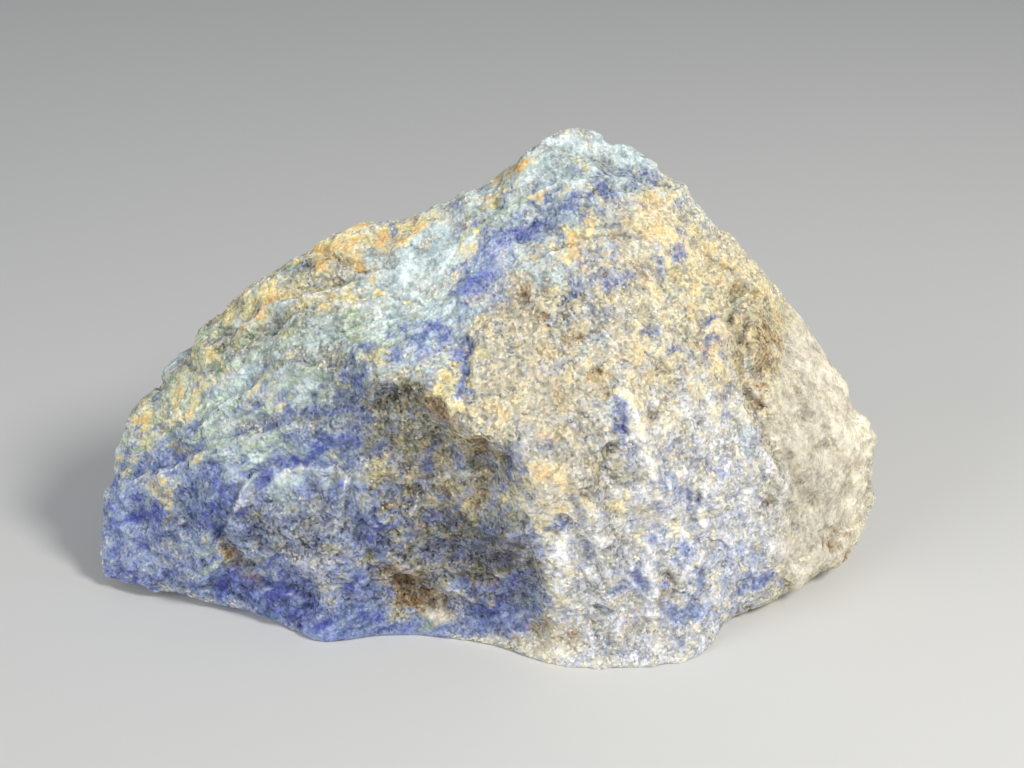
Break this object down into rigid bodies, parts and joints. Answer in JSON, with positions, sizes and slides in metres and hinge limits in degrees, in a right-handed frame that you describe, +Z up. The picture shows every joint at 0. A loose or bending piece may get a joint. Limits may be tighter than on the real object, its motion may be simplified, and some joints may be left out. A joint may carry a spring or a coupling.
{
  "type": "rough lapis lazuli stone",
  "caption": "Hand-sized broken piece of rough blue lapis lazuli in pale calcite, with a peak, a sharp ridge beside a shaded hollow, and a flat base to rest on.",
  "frame": {"origin": "middle of the stone's footprint box, on the surface that it rests on", "axes": "+Z up from the resting surface, +X along the stone's length towards the pale calcite end, -Y towards the front, the side that the picture shows"},
  "size_m": [0.0998, 0.0476, 0.0577],
  "materials": {
    "lapis": "rough broken stone, matte, with fine crystal sparkle"
  },
  "bodies": {
    "root": {"lapis_stone": "lapis"}
  },
  "joints": []
}
